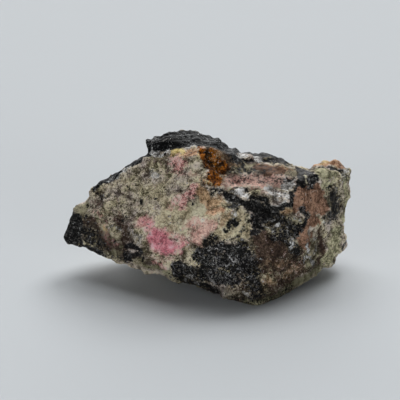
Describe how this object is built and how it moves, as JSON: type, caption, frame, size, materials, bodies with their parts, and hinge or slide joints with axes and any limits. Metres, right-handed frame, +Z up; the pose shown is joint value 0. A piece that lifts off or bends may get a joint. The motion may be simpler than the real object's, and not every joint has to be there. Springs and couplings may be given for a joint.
{
  "type": "tugtupite mineral specimen",
  "caption": "Rough stone of granular matrix with pink tugtupite patches and a dark rind, resting on a small flat foot.",
  "frame": {"origin": "on the surface the stone rests on, under the middle of its box", "axes": "+X along the stone, towards its blocky end; -Y towards its broken front face; +Z up"},
  "size_m": [0.0734, 0.039, 0.0354],
  "materials": {
    "tugtupite_matrix": "dull broken mineral: grey-beige sugary grains with pink, black, rusty and white patches"
  },
  "bodies": {
    "root": {"stone": "tugtupite_matrix"}
  },
  "joints": []
}
